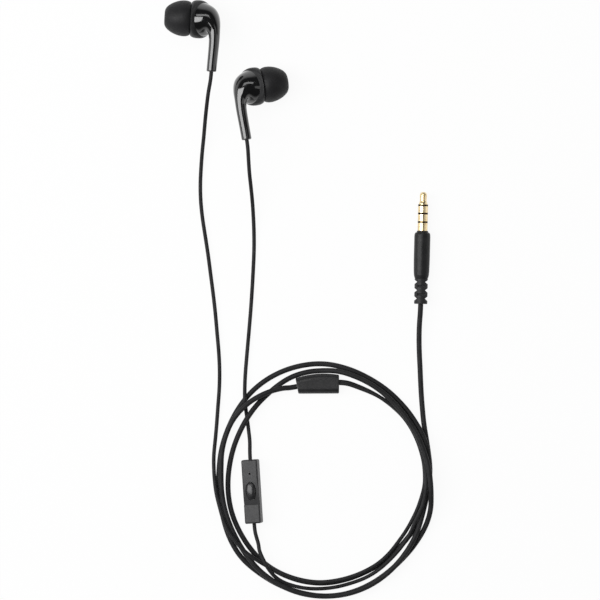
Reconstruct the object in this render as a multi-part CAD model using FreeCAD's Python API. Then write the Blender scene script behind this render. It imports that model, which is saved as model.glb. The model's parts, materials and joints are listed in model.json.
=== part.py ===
import FreeCAD, Part
import math
import os

# Wired in-ear earphones with an in-line remote, a Y splitter and a four-pole plug.
# They lie on a table, z = 0, with the cord wound in one loose loop.
# Millimetres and degrees; +Y runs from the loop towards the earbuds, +Z is up.

V = FreeCAD.Vector
X_AXIS, Y_AXIS, Z_AXIS = V(1, 0, 0), V(0, 1, 0), V(0, 0, 1)
CENTRE = V(0, 0, 0)

# Fits
SLIDE_FIT = 0.05          # radial clearance of a part that slides
SEAT_GAP = 0.02           # clearance of a part that is pressed or glued in
MOVING_GAP = 0.10         # clearance of the diaphragm and the voice coil

# Cords
MAIN_D = 1.85
THIN_D = 1.35
ARC_SHARE = 0.45          # share of a run that each of its two arcs takes
STRAIGHT = 2.5            # run straight out from a piece

# Earbud: datum on the nozzle axis, in the middle of the collar; +x towards the ear tip,
# the stem runs along -y, and +z is the side that faces up on the table
WEDGE = 34.0              # turn between the nozzle axis and the driver axis
RIM_BACK = 1.95           # datum to the point where both axes meet
RIM_R = 5.97              # rear housing at the joint
COLLAR_R = 6.7
COLLAR_FRONT = 2.8        # datum to the front face of the collar
COLLAR_FRONT_R = 5.8
HOUSING_WALL = 0.85
STEM_R = 1.84
STEM_END_R = 1.76
STEM_END = 18.35           # nozzle axis to the end of the stem
STEM_BACK = 4.85          # rim plane to the stem axis
STEM_END_BACK = 4.52      # rim plane to the middle of the stem's end
STEM_END_ROUND = 0.45
LIP_WALL = 0.4
LIP_DEPTH = 0.9

# Nozzle and ear tip
NOZZLE_R = 2.5
NOZZLE_BORE_R = 1.8
NOZZLE_LENGTH = 5.8       # collar front to the nozzle mouth
BARB_R = 2.75
BARB_LENGTH = 1.0
MESH_R = 2.1
MESH_THICK = 0.2
MESH_HOLE_R = 0.17
MESH_PITCH = 0.55
TIP_R = 6.35
TIP_LENGTH = 9.15
TIP_WALL = 0.6
TIP_CORE_WALL = 0.55
TIP_BORE_R = 1.9
TIP_GAP = 0.15            # collar to the ear tip

# Driver, measured from the rim plane: + towards the back of the earbud
DRIVER_R = 4.9
FLANGE_WALL = 0.6
FLANGE_THICK = 0.45
FLANGE_BACK = -0.95       # back face of the flange
CUP_R = 4.3
CUP_WALL = 0.35
CUP_DEPTH = 1.95
CUP_FLOOR = 0.3
SURROUND_THICK = 0.15
ROLL_R = 0.42
DIAPHRAGM_R = 3.1
DIAPHRAGM_THICK = 0.12
DOME_HEIGHT = 0.6
COIL_R = 2.88
COIL_WALL = 0.2
COIL_LENGTH = 1.03
COIL_GAP = 0.16
YOKE_WALL = 0.26
YOKE_FLOOR = 0.45
YOKE_DEPTH = 1.95
PLATE_THICK = 0.4
MAGNET_R = 2.4
BOARD_SIZE = (3.4, 2.6, 0.4)
VENTS = 6
VENT_R = 0.2
GROMMET_R = 1.12
GROMMET_LENGTH = 2.5

# Remote: x across, y along, z from its back to its face
REMOTE_WIDTH = 5.75
REMOTE_LENGTH = 22.6
REMOTE_HEIGHT = 4.9
REMOTE_EDGE = 0.55
REMOTE_WALL = 0.7
REMOTE_SPLIT = 2.3        # back to the joint between the two shells
FACE_WALL = 0.6
RAMP_START = 4.8          # middle to the top of the sloping face
RAMP_END = -4.7           # middle to the step
RAMP_DEPTH = 1.0
BUTTON_Y = 0.2
BUTTON_LENGTH = 6.25
BUTTON_WIDTH = 3.35
BUTTON_GAP = 0.2
BUTTON_DOME = 0.75
BUTTON_RIM = 0.15         # rim of the button above the face beside it
BUTTON_FLANGE = 0.35
BUTTON_TRAVEL = 0.3
MIC_Y = 6.35
MIC_HOLE_R = 0.35
MIC_R = 1.5
MIC_HEIGHT = 1.2
PCB_THICK = 0.5
PCB_STANDOFF = 0.25
SWITCH_SIZE = (3.0, 2.6, 0.7)
PLUNGER_R = 0.5
PLUNGER_HEIGHT = 0.65
BUSH_R = 1.1
BUSH_FLANGE_R = 1.45
BUSH_FLANGE = 0.5

# Splitter
SPLITTER_HEIGHT = 4.2
SPLITTER_EDGE = 1.9
SPLITTER_END_EDGE = 0.4
SPLITTER_WALL = 1.2
SPLITTER_CORE_LENGTH = 9.0
SPLITTER_CORE_WIDTH = 4.2
SPLITTER_PLAN = [(-7.74, 1.95), (7.74, 3.15), (7.74, -3.48), (-6.67, -3.55)]
SPLITTER_CROWN = (0.0, 3.5)  # middle of its bowed long side
MAIN_ENTRY = 2.8          # upper corner of the slanted end to the main cord

# Plug, measured from its point
CONTACT_R = 1.75
TIP_CONTACT = 4.4         # length of the tip contact
RING_1 = (5.0, 7.3)
RING_2 = (7.9, 10.35)
SLEEVE = (10.95, 16.4)
SLEEVE_STEP = 0.2         # the sleeve is that much thinner inside the barrel
LAYER = 0.2               # wall of each inner insulator
PIN_R = 0.5
CONTACT_TUBE = 0.15       # wall of each inner contact tube
PLUG_FRONT = 13.7         # point to the front of the barrel
PLUG_NOSE_R = 2.0
BARREL_R = 2.85
BARREL_END_R = 2.4
BARREL_END = 30.5
BARREL_BORE_R = 2.1
RELIEF_R = 2.35
RELIEF_END = 39.65
RELIEF_PITCH = 2.95
NOTCH_DEPTH = 0.95

# Where the pieces lie
LEFT_AT, LEFT_TURN, LEFT_DIP = (-9.73, 17.57), -3.7, 0.0
RIGHT_AT, RIGHT_TURN, RIGHT_DIP = (9.83, -6.25), 8.5, 8.0
REMOTE_AT, REMOTE_TURN, REMOTE_ROLL = (9.6, -149.55), 3.6, -11.0
SPLITTER_AT = (32.2, -111.4)
PLUG_POINT, PLUG_TURN = (69.86, -43.49), -1.45
LOOP_AT = (34.65, -146.3)

# Loop of the main cord: clock angle, radius and height of each corner.
# It winds clockwise from the plug's lead, nearly three times round, to the splitter.
MAIN_LOOP = [
    (60, 40.8, 1.0), (72, 38.5, 1.0), (84, 37.8, 1.0), (96, 36.7, 1.0), (108, 36.6, 1.0),
    (120, 35.8, 1.0), (132, 35.3, 1.0), (144, 35.1, 1.0), (156, 35.1, 1.0), (168, 35.4, 1.0),
    (180, 35.9, 1.0), (192, 36.0, 1.0), (204, 35.9, 1.0), (216, 35.8, 1.0), (228, 35.2, 1.0),
    (240, 34.7, 1.0), (252, 34.5, 1.0), (264, 34.2, 1.0), (276, 34.0, 1.0), (288, 34.2, 1.1),
    (298, 34.6, 1.8), (308, 35.3, 2.7), (318, 36.2, 2.0), (327, 37.0, 1.1), (336, 38.2, 1.0),
    (344, 39.15, 1.0), (352, 39.5, 1.1), (359, 39.5, 1.6), (366, 39.65, 2.4), (373, 39.3, 2.8),
    (384, 38.6, 3.1), (394, 37.9, 3.4), (404, 37.3, 3.8), (414, 36.9, 4.3), (424, 36.9, 5.0),
    (434, 37.0, 5.7), (443, 37.3, 6.1), (450, 37.6, 6.2), (457, 38.1, 5.5), (464, 38.9, 4.1),
    (471, 39.2, 2.6), (479, 39.1, 1.4), (490, 38.9, 1.0), (504, 39.1, 1.0), (516, 39.8, 1.0),
    (528, 40.4, 1.0), (540, 40.5, 1.0), (552, 40.1, 1.0), (564, 39.8, 1.0), (576, 39.6, 1.0),
    (588, 39.8, 1.0), (600, 38.9, 1.0), (612, 37.8, 1.0), (624, 37.4, 1.0), (636, 37.4, 1.0),
    (648, 38.2, 1.0), (660, 39.0, 1.0), (672, 40.2, 1.0), (684, 41.3, 1.0), (696, 41.9, 1.0),
    (708, 42.1, 1.0), (720, 42.0, 1.0), (732, 41.0, 1.0), (744, 40.0, 1.0), (756, 39.4, 1.0),
    (768, 38.9, 1.4), (776, 38.7, 2.5), (784, 38.7, 3.2), (792, 38.4, 3.4), (804, 37.6, 3.4),
    (816, 36.6, 3.4), (828, 36.5, 3.4), (840, 37.5, 3.3), (852, 38.3, 3.3), (864, 39.2, 3.4),
    (876, 40.0, 3.4), (888, 40.4, 3.4), (900, 40.4, 3.4), (912, 40.2, 3.4), (924, 39.6, 3.4),
    (936, 38.8, 3.4), (948, 37.6, 3.2), (960, 36.8, 3.1), (972, 36.5, 3.1), (984, 36.4, 3.2),
    (996, 36.6, 3.3), (1008, 38.0, 3.5), (1020, 39.0, 3.6), (1028, 39.2, 3.9),
    (1036, 38.9, 4.2), (1044, 38.1, 4.0), (1051, 37.2, 3.6), (1057, 36.3, 2.9)]

# Loops of the two thin cords, from the splitter clockwise
LEFT_LOOP = [
    (20, 36.1, 0.8), (30, 36.0, 0.7), (41, 36.1, 0.7), (52, 36.4, 0.7),
    (64, 36.2, 0.7), (76, 36.0, 0.8), (84, 35.8, 1.7), (92, 35.6, 2.1), (100, 34.8, 1.5),
    (108, 34.3, 0.7), (120, 33.8, 0.8), (129, 33.7, 1.6), (138, 34.2, 2.6), (148, 34.6, 2.7),
    (160, 34.7, 2.7), (172, 35.0, 2.7), (184, 35.5, 2.7), (196, 35.5, 2.7), (207, 35.6, 2.7),
    (215, 36.0, 2.8), (222, 36.5, 4.1), (229, 37.2, 5.2), (236, 37.7, 5.1), (243, 38.1, 4.4),
    (250, 38.1, 4.0), (257, 38.0, 3.9), (264, 38.4, 3.3), (271, 38.8, 2.4), (278, 39.5, 1.3),
    (284, 40.3, 0.8), (291, 41.3, 0.7), (298, 43.1, 0.7), (305, 46.0, 0.7)]
RIGHT_LOOP = [
    (20, 35.6, 2.3), (30, 35.9, 2.1), (40, 36.3, 2.1), (51, 36.7, 2.1),
    (62, 36.6, 2.3), (72, 36.3, 3.3), (80, 36.2, 4.4), (88, 36.2, 5.0), (96, 36.1, 5.2),
    (103, 35.8, 5.1), (109, 35.3, 4.7), (115, 35.1, 3.7), (122, 35.5, 2.8), (130, 35.7, 2.7),
    (138, 35.9, 2.7), (147, 36.5, 2.2), (156, 37.0, 1.2), (165, 37.1, 0.7), (174, 37.5, 0.8),
    (183, 37.9, 1.3), (192, 38.3, 1.8), (201, 38.4, 2.0), (207, 37.9, 2.8), (211.5, 36.8, 4.0),
    (215, 35.8, 4.6), (219, 34.6, 4.5), (223.5, 33.4, 4.1)]

# Free stretches, corner by corner
PLUG_LEAD = [
    (68.4, -90.6, 2.3), (68.3, -95.2, 1.6), (68.4, -100.2, 1.1),
    (68.7, -105.9, 1.0), (68.9, -111.2, 1.0), (69.2, -116.5, 1.0), (69.6, -121.3, 1.0)]
LEFT_FREE = [
    (-6.3, -8.2, 8.2), (-6.9, -12.9, 6.8), (-7.5, -18.2, 4.9),
    (-8.0, -23.9, 3.0), (-8.6, -29.2, 1.6), (-9.0, -34.5, 0.9), (-9.3, -40.2, 0.7),
    (-9.2, -46.2, 0.7), (-8.6, -52.3, 0.7), (-7.6, -58.6, 0.7), (-6.5, -65.7, 0.7),
    (-5.6, -72.8, 0.7), (-4.7, -79.6, 0.7), (-3.9, -86.7, 0.7), (-3.3, -93.8, 0.7),
    (-2.7, -100.2, 0.7), (-2.4, -106.6, 0.7), (-2.5, -113.0, 0.7)]
RIGHT_UPPER = [
    (7.9, -32.0, 9.3), (8.2, -37.0, 7.5), (8.8, -42.3, 5.2),
    (9.3, -47.6, 3.2), (9.6, -53.0, 1.7), (9.8, -58.3, 0.9), (9.8, -64.3, 0.7),
    (9.5, -71.1, 0.7), (9.1, -78.2, 0.7), (8.6, -85.6, 0.7), (8.0, -92.7, 0.7),
    (7.4, -99.5, 0.7), (6.9, -105.2, 0.7), (6.6, -109.4, 0.9), (6.5, -113.3, 2.1),
    (6.5, -116.5, 3.0), (6.7, -118.8, 2.3), (7.0, -121.5, 0.9), (7.4, -124.3, 0.7),
    (7.9, -128.2, 0.9), (8.35, -132.1, 1.6)]
REMOTE_TAIL = [(10.6, -165.6, 3.2), (11.4, -168.1, 3.8)]


# --- shared helpers ---

def moved(shape, placement):
    """The shape carried by a placement."""
    copy = shape.copy()
    copy.Placement = placement.multiply(copy.Placement)
    return copy


def disc(radius, start, end):
    return Part.makeCylinder(radius, end - start, V(0, 0, start))


def ring(inner, outer, start, end):
    return disc(outer, start, end).cut(disc(inner, start - 1, end + 1))


def block(size, x, y, z):
    """A box centred on x and y that stands on z."""
    return Part.makeBox(size[0], size[1], size[2], V(x - size[0] / 2, y - size[1] / 2, z))


def oval(width, length, y, start, end):
    """An elliptical prism along z; width across x, length along y."""
    base = Part.Wire(Part.Ellipse(V(0, 0, start), length / 2, width / 2).toShape())
    base.rotate(V(0, 0, start), Z_AXIS, 90)
    base.translate(V(0, y, 0))
    return Part.Face(base).extrude(V(0, 0, end - start))


def turned(corners):
    """A solid of revolution about z from (radius, height) corners."""
    points = [V(r, 0, h) for r, h in corners]
    face = Part.Face(Part.makePolygon(points + points[:1]))
    return face.revolve(CENTRE, Z_AXIS, 360)


def turned_edges(edges):
    """A solid of revolution about z from edges in the xz plane."""
    return Part.Face(Part.Wire(edges)).revolve(CENTRE, Z_AXIS, 360)


def line(start, end):
    return Part.LineSegment(V(*start), V(*end)).toShape()


# --- earbud ---

def tilted_ring(x, tilt, radius):
    """A circle round the nozzle axis whose plane is turned by tilt about y."""
    circle = Part.Wire(Part.Circle(CENTRE, Z_AXIS, radius).toShape())
    return moved(circle, FreeCAD.Placement(V(x, 0, 0), FreeCAD.Rotation(Y_AXIS, 90 + tilt)))


DRIVER_FRAME = FreeCAD.Placement(V(-RIM_BACK, 0, 0), FreeCAD.Rotation(Y_AXIS, WEDGE - 90))
NOZZLE_FRAME = FreeCAD.Placement(CENTRE, FreeCAD.Rotation(Y_AXIS, 90))
MOUTH = COLLAR_FRONT + NOZZLE_LENGTH
SEAT_R = DRIVER_R + SLIDE_FIT
FLANGE_FRONT = FLANGE_BACK - FLANGE_THICK
SEAT_FLOOR = FLANGE_FRONT - SURROUND_THICK - SLIDE_FIT
LIP_INNER_R = SEAT_R + SLIDE_FIT
LIP_R = LIP_INNER_R + LIP_WALL


def smooth_side(rings, centres):
    """A smooth surface through closed rings; a ring is its centre and its two half axes."""
    sides = 12
    swell = 3 / (2 + math.cos(2 * math.pi / sides))
    turns = [2 * math.pi * side / sides for side in range(sides)]
    stations = [0.0]
    for before, after in zip(centres, centres[1:]):
        stations.append(stations[-1] + math.sqrt((after - before).Length))
    poles = []
    for turn in turns:
        points = [middle + (wide * math.cos(turn) + tall * math.sin(turn)) * swell
                  for middle, wide, tall in rings]
        column = Part.BSplineCurve()
        column.interpolate(Points=points, Parameters=stations)
        poles.append(column.getPoles())
    surface = Part.BSplineSurface()
    surface.buildFromPolesMultsKnots(poles, [1] * (sides + 1), column.getMultiplicities(),
                                     list(range(sides + 1)), column.getKnots(), True, False,
                                     3, column.Degree)
    return surface.toShape()


def closed(side):
    """The solid inside one side surface, with a flat face over each end."""
    caps = [Part.Face(Part.Wire(edge)) for edge in side.Edges if edge.isClosed()]
    shell = Part.makeShell(side.Faces + caps)
    shell.sewShape()
    body = Part.Solid(shell)
    if body.Volume < 0:
        body.reverse()
    return body


def front_housing():
    """Wedge-shaped collar and nozzle in one moulding, with the driver's seat inside."""
    length = RIM_BACK + COLLAR_FRONT
    rows = [(0, RIM_R), (0.09, COLLAR_R - 0.28), (0.24, COLLAR_R), (0.50, COLLAR_R + 0.05),
            (0.72, COLLAR_R - 0.08), (0.89, COLLAR_R - 0.42), (1, COLLAR_FRONT_R)]
    rings, centres = [], []
    for share, radius in rows:
        tilt = math.radians(WEDGE * (1 - share))
        centres.append(V(share * length - RIM_BACK, 0, 0))
        rings.append((centres[-1], Y_AXIS * radius,
                      V(math.sin(tilt), 0, math.cos(tilt)) * radius))
    body = closed(smooth_side(rings, centres))
    nozzle = disc(NOZZLE_R, COLLAR_FRONT - 0.5, MOUTH)
    barb = turned([
        (NOZZLE_BORE_R, MOUTH - 0.3 - BARB_LENGTH), (BARB_R, MOUTH - 0.3 - BARB_LENGTH),
        (BARB_R, MOUTH - 0.6), (NOZZLE_R, MOUTH), (NOZZLE_BORE_R, MOUTH)])
    body = body.fuse([moved(nozzle, NOZZLE_FRAME), moved(barb, NOZZLE_FRAME)])
    seat = disc(SEAT_R, SEAT_FLOOR, 1)
    rebate = disc(LIP_R + SEAT_GAP, -LIP_DEPTH - SLIDE_FIT, 1)
    throat_back = SEAT_FLOOR - ROLL_R - MOVING_GAP
    throat_r = DIAPHRAGM_R + 2 * ROLL_R + 2 * MOVING_GAP
    room = disc(throat_r, throat_back, SEAT_FLOOR + 1)
    throat_start = moved(Part.Wire(Part.Circle(V(0, 0, throat_back), Z_AXIS, throat_r)
                                   .toShape()), DRIVER_FRAME)
    throat = Part.makeLoft([throat_start, tilted_ring(COLLAR_FRONT + 0.6, -180, NOZZLE_BORE_R)],
                           True, True)
    bore = disc(NOZZLE_BORE_R, COLLAR_FRONT + 0.5, MOUTH + 1)
    recess = disc(MESH_R + SEAT_GAP, MOUTH - MESH_THICK - 0.05, MOUTH + 1)
    cavity = [moved(seat, DRIVER_FRAME), moved(rebate, DRIVER_FRAME),
              moved(room, DRIVER_FRAME), throat,
              moved(bore, NOZZLE_FRAME), moved(recess, NOZZLE_FRAME)]
    return body.cut(cavity).removeSplitter()


def nozzle_mesh():
    """Perforated screen in the nozzle mouth."""
    start = MOUTH - MESH_THICK - 0.05
    holes = []
    rows = int((MESH_R - MESH_HOLE_R) / MESH_PITCH) + 1
    for row in range(-rows, rows + 1):
        for column in range(-2 * rows, 2 * rows + 1):
            x = (column + row % 2 / 2) * MESH_PITCH
            y = row * MESH_PITCH * math.sqrt(0.75)
            if math.hypot(x, y) + 2 * MESH_HOLE_R < MESH_R:
                holes.append(Part.makeCylinder(MESH_HOLE_R, 1, V(x, y, start - 0.5)))
    return moved(disc(MESH_R, start, start + MESH_THICK).cut(holes), NOZZLE_FRAME)


def ear_tip():
    """Silicone dome on a sleeve that slips over the nozzle's barb."""
    base = COLLAR_FRONT + TIP_GAP
    front = base + TIP_LENGTH
    bore_r = BARB_R + SLIDE_FIT
    core_r = bore_r + TIP_CORE_WALL
    outline = [(0.35, 1.0), (0.56, 0.94), (0.745, 0.80), (0.885, 0.62), (0.965, 0.45),
               (1.0, 0.28), (0.98, 0.11), (0.905, 0.0)]
    outer = [V(TIP_R * r, 0, base + TIP_LENGTH * h) for r, h in outline]
    inner = [V(TIP_R * r - TIP_WALL, 0, base + TIP_LENGTH * h) for r, h in outline[3:]]
    inner.insert(0, V(core_r, 0, base + TIP_LENGTH * 0.75))
    skirt_out, skirt_in = Part.BSplineCurve(), Part.BSplineCurve()
    skirt_out.interpolate(outer)
    skirt_in.interpolate(inner)
    ends = [(outer[-1], inner[-1]), (inner[0], V(core_r, 0, base)),
            (V(core_r, 0, base), V(bore_r, 0, base)),
            (V(bore_r, 0, base), V(bore_r, 0, MOUTH + TIP_GAP)),
            (V(bore_r, 0, MOUTH + TIP_GAP), V(TIP_BORE_R, 0, MOUTH + TIP_GAP)),
            (V(TIP_BORE_R, 0, MOUTH + TIP_GAP), V(TIP_BORE_R, 0, front - 0.3)),
            (V(TIP_BORE_R, 0, front - 0.3), outer[0])]
    edges = [skirt_out.toShape(), skirt_in.toShape()]
    edges += [Part.LineSegment(a, b).toShape() for a, b in ends]
    return moved(turned_edges(Part.__sortEdges__(edges)), NOZZLE_FRAME)


def skin(wall, rim_r):
    """Smooth side of the bowl and stem, drawn in by the wall, in the driver's frame.
    A row holds the inner point, the outer point (y, back) and the half width."""
    stem_in, stem_out = STEM_BACK - STEM_R, STEM_BACK + STEM_R
    rows = [
        ((-RIM_R, 0), (RIM_R, 0), RIM_R),
        ((-5.60, 0.85), (5.30, 1.70), 5.40),
        ((-5.00, 1.50), (4.00, 3.85), 4.55),
        ((-4.55, 2.00), (1.90, 5.40), 3.60),
        ((-4.75, 2.50), (-0.70, 6.30), 2.80),
        ((-5.50, 2.80), (-3.20, 6.65), 2.20),
        ((-7.00, stem_in - 0.03), (-6.40, stem_out + 0.10), 1.95),
        ((-10.0, stem_in), (-10.0, stem_out), STEM_R),
        ((-STEM_END, STEM_END_BACK - STEM_END_R), (-STEM_END, STEM_END_BACK + STEM_END_R),
         STEM_END_R)]
    rings, centres = [], []
    for index, ((y0, z0), (y1, z1), half_width) in enumerate(rows):
        centre = V(0, (y0 + y1) / 2, (z0 + z1) / 2)
        across = V(0, y1 - y0, z1 - z0).normalize()
        tall = V(0, y1 - y0, z1 - z0).Length / 2 - wall
        wide = half_width - wall
        if index == 0:
            tall = wide = rim_r
        rings.append((centre, X_AXIS * wide, across * tall))
        centres.append(centre)
    return smooth_side(rings, centres)


def rear_housing():
    """Glossy bowl that turns into the stem, hollow, with a lip that enters the front."""
    body = closed(skin(0, RIM_R))
    rim = [e for e in body.Edges if e.isClosed() and e.CenterOfMass.y < -1]
    body = body.makeFillet(STEM_END_ROUND, rim).cut(closed(skin(HOUSING_WALL, SEAT_R)))
    lip = ring(LIP_INNER_R, LIP_R, -LIP_DEPTH, 0)
    pocket = Part.makeCylinder(GROMMET_R + SEAT_GAP, GROMMET_LENGTH + 1,
                               V(0, -STEM_END - 1, STEM_END_BACK), Y_AXIS)
    body = body.cut(pocket).fuse(lip).Solids[0]
    return moved(body, DRIVER_FRAME)


def cord_grommet():
    plug = Part.makeCylinder(GROMMET_R, GROMMET_LENGTH - SEAT_GAP,
                             V(0, -STEM_END, STEM_END_BACK), Y_AXIS)
    return moved(plug, DRIVER_FRAME)


def dome(radius, base):
    """Solid cap of a ball that rises forward from its base."""
    ball_r = (radius ** 2 + DOME_HEIGHT ** 2) / (2 * DOME_HEIGHT)
    ball = Part.makeSphere(ball_r, V(0, 0, base - DOME_HEIGHT + ball_r))
    return ball.common(disc(radius + 1, base - DOME_HEIGHT - 1, base))


def driver():
    """The loudspeaker, front to back, each piece about the driver axis."""
    cup_back = FLANGE_BACK + CUP_DEPTH
    yoke_r = COIL_R + COIL_GAP + YOKE_WALL
    yoke_back = cup_back + 0.05
    yoke_front = yoke_back - YOKE_DEPTH
    yoke_floor = yoke_back - YOKE_FLOOR
    plate_r = COIL_R - COIL_WALL - COIL_GAP
    frame = ring(DRIVER_R - FLANGE_WALL, DRIVER_R, FLANGE_FRONT, FLANGE_BACK)
    frame = frame.fuse([ring(CUP_R - CUP_WALL, CUP_R + 0.02, FLANGE_FRONT, cup_back),
                        ring(yoke_r + SEAT_GAP, CUP_R, cup_back - CUP_FLOOR, cup_back)])
    vents = []
    for index in range(VENTS):
        turn = math.radians(360 * index / VENTS)
        reach = (yoke_r + CUP_R) / 2
        vents.append(Part.makeCylinder(VENT_R, 1, V(reach * math.cos(turn),
                                                    reach * math.sin(turn), cup_back - 0.7)))
    frame = frame.cut(vents).removeSplitter()

    roll_mid = DIAPHRAGM_R + MOVING_GAP + ROLL_R
    roll_in, roll_out = roll_mid - ROLL_R, roll_mid + ROLL_R
    skin = SURROUND_THICK
    low, high = FLANGE_FRONT - skin, FLANGE_FRONT
    surround = turned_edges([
        Part.Arc(V(roll_in, 0, low), V(roll_mid, 0, low - ROLL_R),
                 V(roll_out, 0, low)).toShape(),
        line((roll_out, 0, low), (DRIVER_R - 0.1, 0, low)),
        line((DRIVER_R - 0.1, 0, low), (DRIVER_R - 0.1, 0, high)),
        line((DRIVER_R - 0.1, 0, high), (roll_out - skin, 0, high)),
        line((roll_out - skin, 0, high), (roll_out - skin, 0, low)),
        Part.Arc(V(roll_out - skin, 0, low), V(roll_mid, 0, low - ROLL_R + skin),
                 V(roll_in + skin, 0, low)).toShape(),
        line((roll_in + skin, 0, low), (roll_in, 0, low))])

    thick = DIAPHRAGM_THICK
    dome_r = COIL_R - COIL_WALL
    rim_front = low
    diaphragm = dome(dome_r, rim_front).fuse(
        ring(dome_r - thick, DIAPHRAGM_R, rim_front, rim_front + thick))
    diaphragm = diaphragm.cut(dome(dome_r - thick, rim_front + thick)).removeSplitter()
    coil_front = rim_front + thick
    coil = ring(COIL_R - COIL_WALL, COIL_R, coil_front, coil_front + COIL_LENGTH)
    yoke = disc(yoke_r, yoke_front, yoke_back).cut(
        disc(COIL_R + COIL_GAP, yoke_front - 1, yoke_floor))
    magnet = disc(MAGNET_R, yoke_front + PLATE_THICK, yoke_floor)
    plate = disc(plate_r, yoke_front, yoke_front + PLATE_THICK)
    board = block(BOARD_SIZE, 0, 0, yoke_back)
    pieces = {"driver_frame": frame, "surround": surround, "diaphragm": diaphragm,
              "voice_coil": coil, "yoke": yoke, "magnet": magnet, "top_plate": plate,
              "terminal_board": board}
    return {name: moved(shape, DRIVER_FRAME) for name, shape in pieces.items()}


def earbud():
    pieces = {"front_housing": front_housing(), "nozzle_mesh": nozzle_mesh(),
              "ear_tip": ear_tip(), "rear_housing": rear_housing(),
              "cord_grommet": cord_grommet()}
    pieces.update(driver())
    return pieces


# --- remote ---

def remote_body():
    body = block((REMOTE_WIDTH, REMOTE_LENGTH, REMOTE_HEIGHT), 0, 0, 0)
    body = body.makeFillet(REMOTE_EDGE, body.Edges)
    span = RAMP_START - RAMP_END
    radius = (span ** 2 + RAMP_DEPTH ** 2) / (2 * RAMP_DEPTH)
    above = block((REMOTE_WIDTH + 2, span, REMOTE_HEIGHT), 0, (RAMP_START + RAMP_END) / 2,
                  REMOTE_HEIGHT - 2 * RAMP_DEPTH)
    ramp = Part.makeCylinder(radius, REMOTE_WIDTH + 4,
                             V(-REMOTE_WIDTH / 2 - 2, RAMP_START, REMOTE_HEIGHT - radius), X_AXIS)
    return body.cut(above.cut(ramp))


def remote():
    """Two shells with the board, switch, microphone and cord bushes between them."""
    body = remote_body()
    ceiling = REMOTE_HEIGHT - RAMP_DEPTH - FACE_WALL
    inside_w = REMOTE_WIDTH - 2 * REMOTE_WALL
    inside_l = REMOTE_LENGTH - 2 * REMOTE_WALL
    cavity = block((inside_w, inside_l, ceiling - REMOTE_WALL), 0, 0, REMOTE_WALL)
    board_z = REMOTE_WALL + PCB_STANDOFF
    parts_z = board_z + PCB_THICK
    half = REMOTE_LENGTH / 2
    bore = Part.makeCylinder(BUSH_R + SEAT_GAP, REMOTE_LENGTH + 2, V(0, -half - 1, REMOTE_SPLIT),
                             Y_AXIS)
    well = oval(BUTTON_WIDTH + 2 * BUTTON_GAP, BUTTON_LENGTH + 2 * BUTTON_GAP, BUTTON_Y,
                ceiling - 0.5, REMOTE_HEIGHT + 1)
    sound_hole = Part.makeCylinder(MIC_HOLE_R, 3, V(0, MIC_Y, ceiling - 0.5))
    hollow = body.cut([cavity, bore, well, sound_hole])
    upper = block((REMOTE_WIDTH + 2, REMOTE_LENGTH + 2, REMOTE_HEIGHT), 0, 0, REMOTE_SPLIT)
    front_shell = hollow.common(upper)
    rear_shell = hollow.cut(upper)
    ribs = []
    for y in (-7.5, -2.5, 2.5, 7.5):
        ribs.append(block((inside_w, 0.6, PCB_STANDOFF), 0, y, REMOTE_WALL))
    rear_shell = rear_shell.fuse(ribs).removeSplitter()

    flange_top = ceiling - SLIDE_FIT
    flange_low = flange_top - BUTTON_FLANGE
    drop = (RAMP_START - BUTTON_Y) ** 2 * RAMP_DEPTH / (RAMP_START - RAMP_END) ** 2
    crown_z = REMOTE_HEIGHT - drop + BUTTON_RIM
    crown = Part.makeSphere(1, CENTRE, Z_AXIS, 0, 90, 360)
    matrix = FreeCAD.Matrix()
    matrix.scale(V(BUTTON_WIDTH / 2, BUTTON_LENGTH / 2, BUTTON_DOME))
    crown = crown.transformGeometry(matrix)
    crown.translate(V(0, BUTTON_Y, crown_z))
    stem_low = parts_z + SWITCH_SIZE[2] + PLUNGER_HEIGHT - 0.25
    button = oval(BUTTON_WIDTH, BUTTON_LENGTH, BUTTON_Y, flange_low, crown_z)
    button = button.fuse([crown, oval(BUTTON_WIDTH + 0.5, BUTTON_LENGTH + 0.9, BUTTON_Y,
                                      flange_low, flange_top),
                          Part.makeCylinder(0.8, flange_low - stem_low, V(0, BUTTON_Y, stem_low))])
    bed = parts_z + SWITCH_SIZE[2]
    switch = block(SWITCH_SIZE, 0, BUTTON_Y, parts_z).cut(Part.makeCylinder(
        PLUNGER_R + SLIDE_FIT, SWITCH_SIZE[2], V(0, BUTTON_Y, parts_z + 0.05)))
    plunger = Part.makeCylinder(PLUNGER_R, stem_low - bed + 0.25, V(0, BUTTON_Y, bed - 0.25))
    board = block((inside_w - 0.1, inside_l - 2 * BUSH_FLANGE - 0.2, PCB_THICK), 0, 0, board_z)
    capsule = Part.makeCylinder(MIC_R, MIC_HEIGHT, V(0, MIC_Y, parts_z))
    gasket = ring(MIC_HOLE_R, MIC_R - 0.4, parts_z + MIC_HEIGHT, ceiling)
    gasket.translate(V(0, MIC_Y, 0))
    pieces = {"remote_front_shell": front_shell, "remote_rear_shell": rear_shell,
              "remote_button": button, "remote_switch": switch, "switch_plunger": plunger,
              "remote_circuit_board": board, "microphone_capsule": capsule,
              "microphone_gasket": gasket}
    for name, end in (("remote_upper_bush", 1), ("remote_lower_bush", -1)):
        outside = Part.makeCylinder(BUSH_R, REMOTE_WALL, V(0, end * half, REMOTE_SPLIT),
                                    V(0, -end, 0))
        inside = Part.makeCylinder(BUSH_FLANGE_R, BUSH_FLANGE,
                                   V(0, end * (half - REMOTE_WALL), REMOTE_SPLIT), V(0, -end, 0))
        low = block((9, 9, 9), 0, end * half, -9 + parts_z - PCB_THICK)
        high = block((9, 9, 9), 0, end * half, ceiling)
        pieces[name] = outside.fuse(inside).cut([low, high])
    return pieces


# --- splitter ---

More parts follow.
